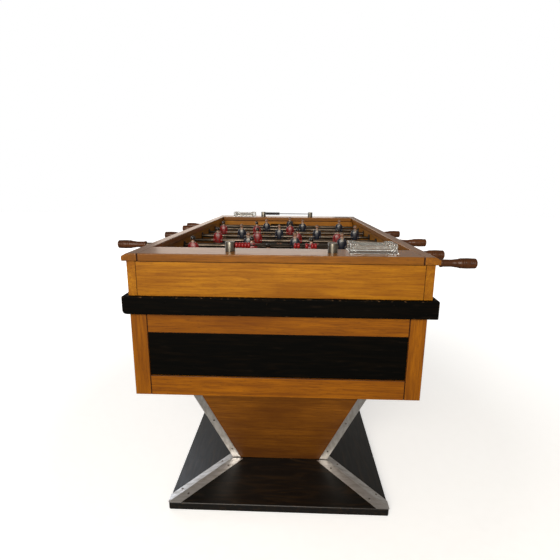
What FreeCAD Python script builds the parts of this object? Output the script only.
"""Cafe foosball table: a wooden cabinet on a tapered pedestal, with eight telescopic rods.

Frame: origin on the floor under the middle of the table, +Z up, +Y along the table,
+X across it. Millimetres.
"""
import FreeCAD, Part
import math
import os

V = FreeCAD.Vector

# ---- cabinet ---------------------------------------------------------------------------
TABLE_HEIGHT = 910.0          # floor to the top of the rim
RIM_WIDTH = 870.0
RIM_LENGTH = 1540.0
RIM_THICK = 22.0
RIM_RAIL_WIDTH = 45.0
RIM_END_DEPTH = 127.0
RIM_BEVEL_WIDE = 15.0
RIM_BEVEL_DEEP = 8.0
BOX_WIDTH = 845.0             # outside of the boards
BOX_LENGTH = 1528.0
BOARD_THICK = 24.0
BOX_SPLIT_Z = 760.0           # the upper boards stand on the lower frame here
FRAME_WIDTH = 836.0           # the lower frame is narrower than the box
FRAME_SHIFT = -4.5            # and sits flush with its left side
FRAME_BOTTOM_Z = 485.5
LOWER_RAIL_TOP_Z = 547.0
UPPER_RAIL_BOTTOM_Z = 680.0
POST_SIDE = 47.0
PANEL_THICK = 12.0
PANEL_RECESS = 3.0
FLOOR_THICK = 12.0
BUMPER_BOTTOM_Z = 738.0
BUMPER_TOP_Z = 790.5
BUMPER_PROUD = 16.0
BUMPER_CORNER_RADIUS = 12.0

# ---- playing field and goals -----------------------------------------------------------
FIELD_TOP_Z = 790.0
FIELD_THICK = 12.0
BATTEN_SIDE = 20.0
GOAL_WALL_THICK = 20.0
GOAL_WIDTH = 200.0
GOAL_TOP_Z = 870.0
CHUTE_WALL = 10.0
CHUTE_BOTTOM_Z = 750.0
RAMP_HALF_WIDTH = 95.0
RAMP_THICK = 8.0
RAMP_HIGH_Z = 742.0
RAMP_LOW_Z = 640.0
TRAY_HALF_LENGTH = 60.0
TRAY_LIP = 14.0
OUTLET_HALF_LENGTH = 56.0
OUTLET_BOTTOM_Z = 560.0
OUTLET_TOP_Z = 640.0

# ---- pedestal --------------------------------------------------------------------------
NECK_TOP = (633.0, 1290.0)    # across, along
WAIST = (350.0, 1012.0)
FOOT = (753.0, 1348.0)
WAIST_Z = 90.0
PLINTH_TOP_Z = 30.0
NECK_WALL = 18.0
FOOT_WALL = 60.0              # measured level, which is about 17 mm square to the slope
TRIM_LEG = 26.0
TRIM_THICK = 1.5
TRIM_SCREW_RADIUS = 3.6
TRIM_SCREW_HIGH = 1.6
TRIM_END_GAP = 1.0
TRIM_SCREW_INSET = 0.55       # share of the leg, from the corner

# ---- rods ------------------------------------------------------------------------------
ROD_Z = 860.0
ROD_SPACING = 163.7
TUBE_RADIUS = 8.0
TUBE_BORE = 6.1
CORE_RADIUS = 6.05
CORE_CLEARANCE = 0.05         # in the tube and in the pivot bearing
STOP_GAP = 2.0                # players and handles stop short of the bearings
BEARING_BORE = 8.05
BEARING_SHANK = 12.0
BEARING_FLANGE = 16.0
BEARING_FLANGE_THICK = 4.0
PIVOT_CAP = 3.0
CORE_REACH = 400.0            # free end of the core, measured from the middle of the table
TUBE_END_GAP = 3.0
HANDLE_LENGTH = 114.0
HANDLE_TIP_WALL = 20.0

# one entry a rod, near end first: hand (+1 right, -1 left), handle tip, players
RODS = [
    {"hand": 1, "tip": 616.0, "middle": -42.0, "count": 1, "pitch": 0.0},
    {"hand": 1, "tip": 573.0, "middle": -110.0, "count": 3, "pitch": 212.0},
    {"hand": -1, "tip": 666.0, "middle": 45.0, "count": 3, "pitch": 185.0},
    {"hand": 1, "tip": 613.0, "middle": -31.0, "count": 4, "pitch": 174.0},
    {"hand": -1, "tip": 578.0, "middle": 61.0, "count": 4, "pitch": 179.0},
    {"hand": 1, "tip": 583.0, "middle": -150.0, "count": 3, "pitch": 172.0},
    {"hand": -1, "tip": 580.0, "middle": 90.0, "count": 3, "pitch": 200.0},
    {"hand": -1, "tip": 598.0, "middle": 18.0, "count": 1, "pitch": 0.0},
]

# ---- players, measured from the rod's axis ---------------------------------------------
HEAD_TOP = 57.0
HEAD_RADIUS = 9.5
NECK_RADIUS = 6.0
SHOULDER_WIDE = 40.0
SHIRT_TOP = 27.5              # low enough to slide in under the rim
SHIRT_BOTTOM = -12.0
BODY_DEEP = 22.0
LEGS_WIDE = 26.0
LEGS_DEEP = 16.0
FOOT_REACH = 66.0
FOOT_HIGH = 14.0
FOOT_WIDE = 24.0
FOOT_DEEP = 24.0

# ---- scorers and ashtrays --------------------------------------------------------------
SCORER_SET_BACK = 60.0        # behind the rim's outer edge
POST_X = (-142.0, 149.0)
POST_RADIUS = 14.0
POST_HIGH = 28.0
WIRE_HIGH = 18.0
WIRE_RADIUS = 2.0
BEAD_RADIUS = 8.7
BEAD_BORE = 2.05
BEAD_LONG = 8.0
BEAD_PITCH = 8.6
NEAR_STACK_START = -123.0
NEAR_STACK_COUNT = 5
NEAR_RIGHT_BEADS = (43.0, 52.0, 75.0, 91.2, 100.0)
FAR_STACK_START = 130.0       # as seen from the far end
FAR_STACK_COUNT = 10
ASHTRAY = (138.0, 78.0, 28.0)
ASHTRAY_X = 262.0
ASHTRAY_SET_BACK = 80.0
ASHTRAY_WALL = 16.0
ASHTRAY_BASE = 9.0
ASHTRAY_CORNER = 12.0

RIM_BOTTOM_Z = TABLE_HEIGHT - RIM_THICK
FIELD_HALF_WIDTH = BOX_WIDTH / 2 - BOARD_THICK
FIELD_HALF_LENGTH = RIM_LENGTH / 2 - RIM_END_DEPTH
BOX_HALF_LENGTH = BOX_LENGTH / 2
BOX_HALF_WIDTH = BOX_WIDTH / 2
FRAME_HALF_WIDTH = FRAME_WIDTH / 2


def box(x0, x1, y0, y1, z0, z1):
    """A box between two corners."""
    corner = V(min(x0, x1), min(y0, y1), min(z0, z1))
    return Part.makeBox(abs(x1 - x0), abs(y1 - y0), abs(z1 - z0), corner)


def slab(points, direction):
    """A flat outline pushed along a direction."""
    outline = Part.makePolygon([V(*p) for p in points + points[:1]])
    return Part.Face(outline).extrude(V(*direction))


def rod_along_x(radius, x0, x1, y, z):
    """A round bar along X."""
    return Part.makeCylinder(radius, abs(x1 - x0), V(min(x0, x1), y, z), V(1, 0, 0))


def both_ends(shape):
    """A piece of the near end and the same piece turned round to the far end."""
    far = shape.copy()
    far.rotate(V(0, 0, 0), V(0, 0, 1), 180)
    return [shape, far]


def on_frame(shapes):
    """Pieces of the lower frame, moved over to where it sits under the box."""
    for shape in shapes:
        shape.translate(V(FRAME_SHIFT, 0, 0))
    return shapes


def save(node, shapes):
    """Write one node, which holds one or more separate solids."""
    solids = []
    for shape in shapes:
        solids.extend(shape.Solids)
    for solid in solids:
        if not solid.isValid():
            raise ValueError("bad solid in " + node)
    whole = solids[0] if len(solids) == 1 else Part.makeCompound(solids)
    whole.exportStep("parts/" + node + ".step")
    volume = sum(solid.Volume for solid in solids)
    print(f"{node:22s} {len(solids):3d} solids {volume / 1000:10.1f} cm3")


def rod_y(number):
    """The rod's place along the table, number 0 nearest."""
    return (number - (len(RODS) - 1) / 2) * ROD_SPACING


# ---- cabinet ---------------------------------------------------------------------------
def side_boards():
    """The two long boards that carry the rods, bored for the bearings."""
    boards = []
    for side in (-1, 1):
        board = box(side * FIELD_HALF_WIDTH, side * BOX_HALF_WIDTH,
                    -BOX_HALF_LENGTH, BOX_HALF_LENGTH, BOX_SPLIT_Z, RIM_BOTTOM_Z)
        for number in range(len(RODS)):
            bore = rod_along_x(BEARING_SHANK, side * FIELD_HALF_WIDTH,
                               side * BOX_HALF_WIDTH, rod_y(number), ROD_Z)
            board = board.cut(bore)
        boards.append(board)
    return boards


def end_boards():
    """The short boards between the side boards."""
    board = box(-FIELD_HALF_WIDTH, FIELD_HALF_WIDTH, -BOX_HALF_LENGTH,
                -BOX_HALF_LENGTH + BOARD_THICK, BOX_SPLIT_Z, RIM_BOTTOM_Z)
    return both_ends(board)


def playing_field():
    """The board that the ball rolls on."""
    return [box(-FIELD_HALF_WIDTH, FIELD_HALF_WIDTH, -FIELD_HALF_LENGTH,
                FIELD_HALF_LENGTH, FIELD_TOP_Z - FIELD_THICK, FIELD_TOP_Z)]


def field_battens():
    """Strips under the long edges of the field."""
    top = FIELD_TOP_Z - FIELD_THICK
    battens = []
    for side in (-1, 1):
        battens.append(box(side * (FIELD_HALF_WIDTH - BATTEN_SIDE), side * FIELD_HALF_WIDTH,
                           -FIELD_HALF_LENGTH, FIELD_HALF_LENGTH, BOX_SPLIT_Z, top))
    return battens


def goal_walls():
    """The wall at each end of the field, with the goal mouth cut through it."""
    outer = -FIELD_HALF_LENGTH - GOAL_WALL_THICK
    wall = box(-FIELD_HALF_WIDTH, FIELD_HALF_WIDTH, outer, -FIELD_HALF_LENGTH,
               BOX_SPLIT_Z, RIM_BOTTOM_Z)
    mouth = box(-GOAL_WIDTH / 2, GOAL_WIDTH / 2, outer, -FIELD_HALF_LENGTH,
                FIELD_TOP_Z, GOAL_TOP_Z)
    return both_ends(wall.cut(mouth))


def goal_chutes():
    """Three boards behind each goal that drop the ball on to its ramp."""
    inner = -FIELD_HALF_LENGTH - GOAL_WALL_THICK
    outer = -BOX_HALF_LENGTH + BOARD_THICK
    half = GOAL_WIDTH / 2
    whole = box(-half - CHUTE_WALL, half + CHUTE_WALL, outer, inner,
                CHUTE_BOTTOM_Z, RIM_BOTTOM_Z)
    hollow = box(-half, half, outer + CHUTE_WALL, inner, CHUTE_BOTTOM_Z, RIM_BOTTOM_Z)
    return both_ends(whole.cut(hollow))


def ball_ramps():
    """A slope from each goal and a cross tray that leads the balls to the side outlet."""
    outer = -BOX_HALF_LENGTH + BOARD_THICK
    ramp = slab([(-RAMP_HALF_WIDTH, outer, RAMP_HIGH_Z),
                 (-RAMP_HALF_WIDTH, -TRAY_HALF_LENGTH, RAMP_LOW_Z),
                 (-RAMP_HALF_WIDTH, -TRAY_HALF_LENGTH, RAMP_LOW_Z - RAMP_THICK),
                 (-RAMP_HALF_WIDTH, outer, RAMP_HIGH_Z - RAMP_THICK)],
                (2 * RAMP_HALF_WIDTH, 0, 0))
    panel_face = FRAME_HALF_WIDTH + FRAME_SHIFT - PANEL_RECESS - PANEL_THICK
    length = panel_face + RAMP_HALF_WIDTH
    low = OUTLET_BOTTOM_Z
    high = RAMP_LOW_Z - RAMP_THICK - TRAY_LIP
    tray = slab([(-RAMP_HALF_WIDTH, -TRAY_HALF_LENGTH, high),
                 (length - RAMP_HALF_WIDTH, -TRAY_HALF_LENGTH, low),
                 (length - RAMP_HALF_WIDTH, -TRAY_HALF_LENGTH, low - RAMP_THICK),
                 (-RAMP_HALF_WIDTH, -TRAY_HALF_LENGTH, high - RAMP_THICK)],
                (0, 2 * TRAY_HALF_LENGTH, 0))
    return both_ends(ramp) + [tray]


def rim_side_rails():
    """The long top rails, with a shallow bevel on the outer edge."""
    outer = RIM_WIDTH / 2
    inner = outer - RIM_RAIL_WIDTH
    rails = []
    for side in (-1, 1):
        outline = [(side * inner, -RIM_LENGTH / 2, RIM_BOTTOM_Z),
                   (side * outer, -RIM_LENGTH / 2, RIM_BOTTOM_Z),
                   (side * outer, -RIM_LENGTH / 2, TABLE_HEIGHT - RIM_BEVEL_DEEP),
                   (side * (outer - RIM_BEVEL_WIDE), -RIM_LENGTH / 2, TABLE_HEIGHT),
                   (side * inner, -RIM_LENGTH / 2, TABLE_HEIGHT)]
        rails.append(slab(outline, (0, RIM_LENGTH, 0)))
    return rails


def rim_end_boards():
    """The wide top boards at the ends, between the rails."""
    half = RIM_WIDTH / 2 - RIM_RAIL_WIDTH
    board = box(-half, half, -RIM_LENGTH / 2, -RIM_LENGTH / 2 + RIM_END_DEPTH,
                RIM_BOTTOM_Z, TABLE_HEIGHT)
    return both_ends(board)


def bumper_rails():
    """The band of four boards round the cabinet."""
    wide = BOX_HALF_WIDTH + BUMPER_PROUD
    end = box(-wide, wide, -BOX_HALF_LENGTH - BUMPER_PROUD, -BOX_HALF_LENGTH,
              BUMPER_BOTTOM_Z, BUMPER_TOP_Z)
    lower_corners = []
    for edge in end.Edges:
        middle = edge.CenterOfMass
        if abs(middle.x + wide) < 0.1 and abs(middle.z - BUMPER_BOTTOM_Z) < 0.1:
            lower_corners.append(edge)
    end = end.makeFillet(BUMPER_CORNER_RADIUS, lower_corners)
    side = box(BOX_HALF_WIDTH, wide, -BOX_HALF_LENGTH, BOX_HALF_LENGTH,
               BUMPER_BOTTOM_Z, BUMPER_TOP_Z)
    return both_ends(end) + both_ends(side)


def corner_posts():
    """The four uprights of the lower frame."""
    posts = []
    for side in (-1, 1):
        post = box(side * (FRAME_HALF_WIDTH - POST_SIDE), side * FRAME_HALF_WIDTH,
                   -BOX_HALF_LENGTH, -BOX_HALF_LENGTH + POST_SIDE,
                   FRAME_BOTTOM_Z, BOX_SPLIT_Z)
        posts.extend(both_ends(post))
    return on_frame(posts)


def between_posts(z0, z1, thick, recess):
    """A board on each of the four sides, between the posts."""
    half_x = FRAME_HALF_WIDTH - POST_SIDE
    half_y = BOX_HALF_LENGTH - POST_SIDE
    face_x = FRAME_HALF_WIDTH - recess
    face_y = BOX_HALF_LENGTH - recess
    end = box(-half_x, half_x, -face_y, -face_y + thick, z0, z1)
    side = box(face_x - thick, face_x, -half_y, half_y, z0, z1)
    return on_frame(both_ends(end) + both_ends(side))


def frame_rails():
    """The level boards of the lower frame."""
    lower = between_posts(FRAME_BOTTOM_Z, LOWER_RAIL_TOP_Z, BOARD_THICK, 0)
    upper = between_posts(UPPER_RAIL_BOTTOM_Z, BOX_SPLIT_Z, BOARD_THICK, 0)
    return lower + upper


def side_panels():
    """The four black panels, the right-hand one cut for the ball outlet."""
    panels = between_posts(LOWER_RAIL_TOP_Z, UPPER_RAIL_BOTTOM_Z, PANEL_THICK, PANEL_RECESS)
    outlet = box(0, BOX_HALF_WIDTH, -OUTLET_HALF_LENGTH, OUTLET_HALF_LENGTH,
                 OUTLET_BOTTOM_Z, OUTLET_TOP_Z)
    return [panel.cut(outlet) for panel in panels]


def cabinet_floor():
    """The bottom board, notched round the posts."""
    inner_x = FRAME_HALF_WIDTH - BOARD_THICK
    inner_y = BOX_HALF_LENGTH - BOARD_THICK
    floor = box(FRAME_SHIFT - inner_x, FRAME_SHIFT + inner_x, -inner_y, inner_y,
                FRAME_BOTTOM_Z, FRAME_BOTTOM_Z + FLOOR_THICK)
    for post in corner_posts():
        floor = floor.cut(post)
    return [floor]


# ---- pedestal --------------------------------------------------------------------------
def tapered_walls(low, high, z_low, z_high, wall):
    """Four mitred panels of a hollow block that tapers from one rectangle to another."""
    panels = []
    signs = ((-1, -1), (1, -1), (1, 1), (-1, 1))
    for first, second in zip(signs, signs[1:] + signs[:1]):
        outline = []
        for sign, inset in ((first, 0), (second, 0), (second, wall), (first, wall)):
            outline.append((sign[0] * (low[0] / 2 - inset), sign[1] * (low[1] / 2 - inset)))
        top = []
        for sign, inset in ((first, 0), (second, 0), (second, wall), (first, wall)):
            top.append((sign[0] * (high[0] / 2 - inset), sign[1] * (high[1] / 2 - inset)))
        panels.append(hexahedron(outline, z_low, top, z_high))
    return panels


def hexahedron(low, z_low, high, z_high):
    """A solid between two level outlines with the same number of corners."""
    bottom = [V(x, y, z_low) for x, y in low]
    top = [V(x, y, z_high) for x, y in high]
    faces = [Part.Face(Part.makePolygon(bottom + bottom[:1])),
             Part.Face(Part.makePolygon(top + top[:1]))]
    count = len(bottom)
    for i in range(count):
        j = (i + 1) % count
        faces.append(Part.Face(Part.makePolygon([bottom[i], bottom[j], top[j], top[i],
                                                 bottom[i]])))
    solid = Part.makeSolid(Part.makeShell(faces))
    if solid.Volume < 0:
        solid.reverse()
    return solid


def neck_panels():
    """The four sloping boards of the neck."""
    return tapered_walls(WAIST, NECK_TOP, WAIST_Z, FRAME_BOTTOM_Z, NECK_WALL)


def foot_panels():
    """The four low sloping boards of the foot."""
    return tapered_walls(FOOT, WAIST, PLINTH_TOP_Z, WAIST_Z, FOOT_WALL)


def base_board():
    """The plinth that stands on the floor."""
    return [box(-FOOT[0] / 2, FOOT[0] / 2, -FOOT[1] / 2, FOOT[1] / 2, 0, PLINTH_TOP_Z)]


def trim_frame(low, high, z_low, z_high):
    """The corner line of a tapered block and the metal's level thickness on each face."""
    rise = z_high - z_low
    run_x = (high[0] - low[0]) / 2
    run_y = (high[1] - low[1]) / 2
    thick_x = TRIM_THICK * math.hypot(rise, run_x) / rise
    thick_y = TRIM_THICK * math.hypot(rise, run_y) / rise
    leg_x = TRIM_LEG * math.sqrt(run_x ** 2 + run_y ** 2 + rise ** 2) / math.hypot(rise, run_y)
    leg_y = TRIM_LEG * math.sqrt(run_x ** 2 + run_y ** 2 + rise ** 2) / math.hypot(rise, run_x)
    return {"low": low, "z_low": z_low, "run": (run_x, run_y, rise),
            "thick": (thick_x, thick_y), "leg": (leg_x, leg_y)}


def corner_trim(frame, sign_x, sign_y):
    """An angle strip that covers one sloping corner."""
    thick_x, thick_y = frame["thick"]
    leg_x, leg_y = frame["leg"]
    x = frame["low"][0] / 2
    y = frame["low"][1] / 2
    share = TRIM_END_GAP / frame["run"][2]
    start = [share * step for step in frame["run"]]
    outline = [(x + thick_x, y + thick_y), (x - leg_x, y + thick_y), (x - leg_x, y),
               (x, y), (x, y - leg_y), (x + thick_x, y - leg_y)]
    z = frame["z_low"] + start[2]
    points = [(sign_x * (px + start[0]), sign_y * (py + start[1]), z) for px, py in outline]
    keep = 1 - 2 * share
    run_x, run_y, rise = frame["run"]
    return slab(points, (sign_x * run_x * keep, sign_y * run_y * keep, rise * keep))


def trim_screw(frame, sign_x, sign_y, along, on_end):
    """A screw head on one leg of a strip; on_end says whether the leg faces the end."""
    run_x, run_y, rise = frame["run"]
    inset_x = frame["leg"][0] * TRIM_SCREW_INSET if on_end else -frame["thick"][0]
    inset_y = -frame["thick"][1] if on_end else frame["leg"][1] * TRIM_SCREW_INSET
    place = V(sign_x * (frame["low"][0] / 2 - inset_x + along * run_x),
              sign_y * (frame["low"][1] / 2 - inset_y + along * run_y),
              frame["z_low"] + along * rise)
    if on_end:
        normal = V(0, sign_y * rise, -run_y)
    else:
        normal = V(sign_x * rise, 0, -run_x)
    return Part.makeCylinder(TRIM_SCREW_RADIUS, TRIM_SCREW_HIGH, place, normal)


def corner_trims():
    """Metal strips on the four corners of the neck and of the foot, and their screws."""
    neck = trim_frame(WAIST, NECK_TOP, WAIST_Z, FRAME_BOTTOM_Z)
    foot = trim_frame(FOOT, WAIST, PLINTH_TOP_Z, WAIST_Z)
    strips = []
    screws = []
    for frame, places in ((neck, (0.12, 0.5, 0.88)), (foot, (0.2, 0.82))):
        for sign_x in (-1, 1):
            for sign_y in (-1, 1):
                strips.append(corner_trim(frame, sign_x, sign_y))
                for along in places:
                    screws.append(trim_screw(frame, sign_x, sign_y, along, True))
                    screws.append(trim_screw(frame, sign_x, sign_y, along, False))
    return strips, screws


# ---- rods ------------------------------------------------------------------------------
def tube_bearing(hand, y):
    """The flanged bush that the tube turns and slides in."""
    inside = hand * (FIELD_HALF_WIDTH - BEARING_FLANGE_THICK)
    outside = hand * (BOX_HALF_WIDTH + BEARING_FLANGE_THICK)
    bush = rod_along_x(BEARING_SHANK, inside, outside, y, ROD_Z)
    inner = rod_along_x(BEARING_FLANGE, inside, hand * FIELD_HALF_WIDTH, y, ROD_Z)
    outer = rod_along_x(BEARING_FLANGE, hand * BOX_HALF_WIDTH, outside, y, ROD_Z)
    bore = rod_along_x(BEARING_BORE, inside, outside, y, ROD_Z)
    return bush.fuse([inner, outer]).cut(bore).removeSplitter()


def pivot_bearing(hand, y):
    """The closed bush opposite the handle, where the core turns."""
    inside = -hand * (FIELD_HALF_WIDTH - BEARING_FLANGE_THICK)
    outside = -hand * BOX_HALF_WIDTH
    shank = rod_along_x(BEARING_SHANK, inside, outside, y, ROD_Z)
    flange = rod_along_x(BEARING_FLANGE, inside, -hand * FIELD_HALF_WIDTH, y, ROD_Z)
    bore = rod_along_x(CORE_RADIUS + CORE_CLEARANCE, inside, -hand * (BOX_HALF_WIDTH - PIVOT_CAP),
                       y, ROD_Z)
    return shank.fuse(flange).cut(bore).removeSplitter()


def rod_bearings():
    """Two bearings for each rod."""
    bearings = []
    for number, rod in enumerate(RODS):
        bearings.append(tube_bearing(rod["hand"], rod_y(number)))
        bearings.append(pivot_bearing(rod["hand"], rod_y(number)))
    return bearings


def player_places(rod):
    """The players' places across the table."""
    first = rod["middle"] - rod["pitch"] * (rod["count"] - 1) / 2
    return [first + rod["pitch"] * i for i in range(rod["count"])]


def push_room(rod):
    """How far the rod can be pushed in and pulled out from where it rests."""
    wall = FIELD_HALF_WIDTH - BEARING_FLANGE_THICK - STOP_GAP
    places = [rod["hand"] * x for x in player_places(rod)]
    room_in = min(places) - SHOULDER_WIDE / 2 + wall
    flange = BOX_HALF_WIDTH + BEARING_FLANGE_THICK
    handle_gap = rod["tip"] - HANDLE_LENGTH - flange - STOP_GAP
    room_out = wall - max(places) - SHOULDER_WIDE / 2
    return math.floor(min(room_in, handle_gap)), math.floor(room_out)


def rod_core(rod, y):
    """The inner bar, which turns in the wall opposite the handle."""
    start = -rod["hand"] * (BOX_HALF_WIDTH - PIVOT_CAP - 1.0)
    return [rod_along_x(CORE_RADIUS, start, rod["hand"] * CORE_REACH, y, ROD_Z)]


def rod_tube(rod, y):
    """The outer tube that carries the players and slides over the core."""
    room_in = push_room(rod)[0]
    wall = FIELD_HALF_WIDTH - BEARING_FLANGE_THICK
    start = -rod["hand"] * (wall - TUBE_END_GAP - room_in)
    end = rod["hand"] * (rod["tip"] - HANDLE_TIP_WALL)
    tube = rod_along_x(TUBE_RADIUS, start, end, y, ROD_Z)
    return [tube.cut(rod_along_x(TUBE_BORE, start, end, y, ROD_Z))]


def player_block(x, y, wide, deep, z0, z1):
    """A block of a player's body between two heights over the rod's axis."""
    return box(x - wide / 2, x + wide / 2, y - deep / 2, y + deep / 2,
               ROD_Z + z0, ROD_Z + z1)


def player(x, y):
    """One cast player, feet down, bored for the tube."""
    axis = V(x, y, ROD_Z)
    ankle = -FOOT_REACH + FOOT_HIGH
    shirt = player_block(x, y, SHOULDER_WIDE, BODY_DEEP, SHIRT_BOTTOM, SHIRT_TOP)
    legs = player_block(x, y, LEGS_WIDE, LEGS_DEEP, ankle, SHIRT_BOTTOM)
    foot = player_block(x, y, FOOT_WIDE, FOOT_DEEP, -FOOT_REACH, ankle)
    neck = Part.makeCylinder(NECK_RADIUS, HEAD_TOP - HEAD_RADIUS - SHIRT_TOP,
                             axis + V(0, 0, SHIRT_TOP))
    head = Part.makeSphere(HEAD_RADIUS, axis + V(0, 0, HEAD_TOP - HEAD_RADIUS))
    bore = rod_along_x(TUBE_RADIUS, x - SHOULDER_WIDE, x + SHOULDER_WIDE, y, ROD_Z)
    return shirt.fuse([legs, foot, neck, head]).cut(bore).removeSplitter()


def rod_handle(rod, y):
    """The turned wooden grip, bored for the tube."""
    hand = rod["hand"]
    inner = rod["tip"] - HANDLE_LENGTH
    profile = [(0, 0), (0, 13.5), (7, 13.5), (9, 11.6), (34, 11.6), (50, 13.2),
               (66, 16.4), (84, 16.8), (106, 16.2), (112, 13.5), (114, 9.0), (114, 0)]
    points = [V(hand * (inner + along), y + radius, ROD_Z) for along, radius in profile]
    outline = Part.makePolygon(points + points[:1])
    grip = Part.Face(outline).revolve(V(0, y, ROD_Z), V(1, 0, 0), 360)
    if grip.Volume < 0:
        grip.reverse()
    bore = rod_along_x(TUBE_RADIUS, hand * inner, hand * (rod["tip"] - HANDLE_TIP_WALL),
                       y, ROD_Z)
    return [grip.cut(bore)]


# ---- scorers and ashtrays --------------------------------------------------------------
SCORER_Y = -RIM_LENGTH / 2 + SCORER_SET_BACK
WIRE_Z = TABLE_HEIGHT + WIRE_HIGH


def score_wire():
    """The near wire, from post to post."""
    return rod_along_x(WIRE_RADIUS, POST_X[0], POST_X[1], SCORER_Y, WIRE_Z)


def score_posts():
    """Two round posts at each end, bored for the wire."""
    posts = []
    for x in POST_X:
        post = Part.makeCylinder(POST_RADIUS, POST_HIGH, V(x, SCORER_Y, TABLE_HEIGHT))
        posts.extend(both_ends(post.cut(score_wire())))
    return posts


def beads(places):
    """Score beads on the near wire."""
    pieces = []
    for x in places:
        bead = rod_along_x(BEAD_RADIUS, x - BEAD_LONG / 2, x + BEAD_LONG / 2,
                           SCORER_Y, WIRE_Z)
        hole = rod_along_x(BEAD_BORE, x - BEAD_LONG, x + BEAD_LONG, SCORER_Y, WIRE_Z)
        pieces.append(bead.cut(hole))
    return pieces


def far_end(pieces):
    """The pieces turned round to the far end of the table."""
    return [both_ends(piece)[1] for piece in pieces]


def ashtray():
    """A pressed glass dish on the near rim."""
    wide, deep, high = ASHTRAY
    y = -RIM_LENGTH / 2 + ASHTRAY_SET_BACK
    dish = box(ASHTRAY_X - wide / 2, ASHTRAY_X + wide / 2, y - deep / 2, y + deep / 2,
               TABLE_HEIGHT, TABLE_HEIGHT + high)
    uprights = [edge for edge in dish.Edges if abs(edge.Length - high) < 0.01]
    dish = dish.makeFillet(ASHTRAY_CORNER, uprights)
    well = box(ASHTRAY_X - wide / 2 + ASHTRAY_WALL, ASHTRAY_X + wide / 2 - ASHTRAY_WALL,
               y - deep / 2 + ASHTRAY_WALL, y + deep / 2 - ASHTRAY_WALL,
               TABLE_HEIGHT + ASHTRAY_BASE, TABLE_HEIGHT + high)
    return dish.cut(well)


def main():
    """Write every node."""
    os.makedirs("parts", exist_ok=True)
    strips, screws = corner_trims()
    near_stack = beads([NEAR_STACK_START + BEAD_PITCH * i for i in range(NEAR_STACK_COUNT)])
    near_others = beads(NEAR_RIGHT_BEADS)
    far_stack = beads([FAR_STACK_START - BEAD_PITCH * i for i in range(FAR_STACK_COUNT)])
    dish = ashtray()
    wire = score_wire()
    cabinet = {
        "playing_field": playing_field(), "field_battens": field_battens(),
        "side_boards": side_boards(), "end_boards": end_boards(),
        "goal_walls": goal_walls(), "goal_chutes": goal_chutes(),
        "ball_ramps": ball_ramps(), "rim_side_rails": rim_side_rails(),
        "rim_end_boards": rim_end_boards(), "bumper_rails": bumper_rails(),
        "corner_posts": corner_posts(), "frame_rails": frame_rails(),
        "side_panels": side_panels(), "cabinet_floor": cabinet_floor(),
        "neck_panels": neck_panels(), "foot_panels": foot_panels(),
        "base_board": base_board(), "trim_screws": screws,
        "neck_trims": strips[:4], "foot_trims": strips[4:],
        "rod_bearings": rod_bearings(), "score_posts": score_posts(),
        "score_wires": both_ends(wire),
        "beads_near_left": near_stack, "beads_near_right": near_others,
        "beads_far": far_end(far_stack),
        "ashtray_near": [dish], "ashtray_far": far_end([dish]),
    }
    for node, shapes in cabinet.items():
        save(node, shapes)
    for number, rod in enumerate(RODS):
        y = rod_y(number)
        name = f"rod{number + 1}_"
        save(name + "core", rod_core(rod, y))
        save(name + "tube", rod_tube(rod, y))
        save(name + "handle", rod_handle(rod, y))
        save(name + "players", [player(x, y) for x in player_places(rod)])
        print(name, "y", y, "in and out", push_room(rod))


main()
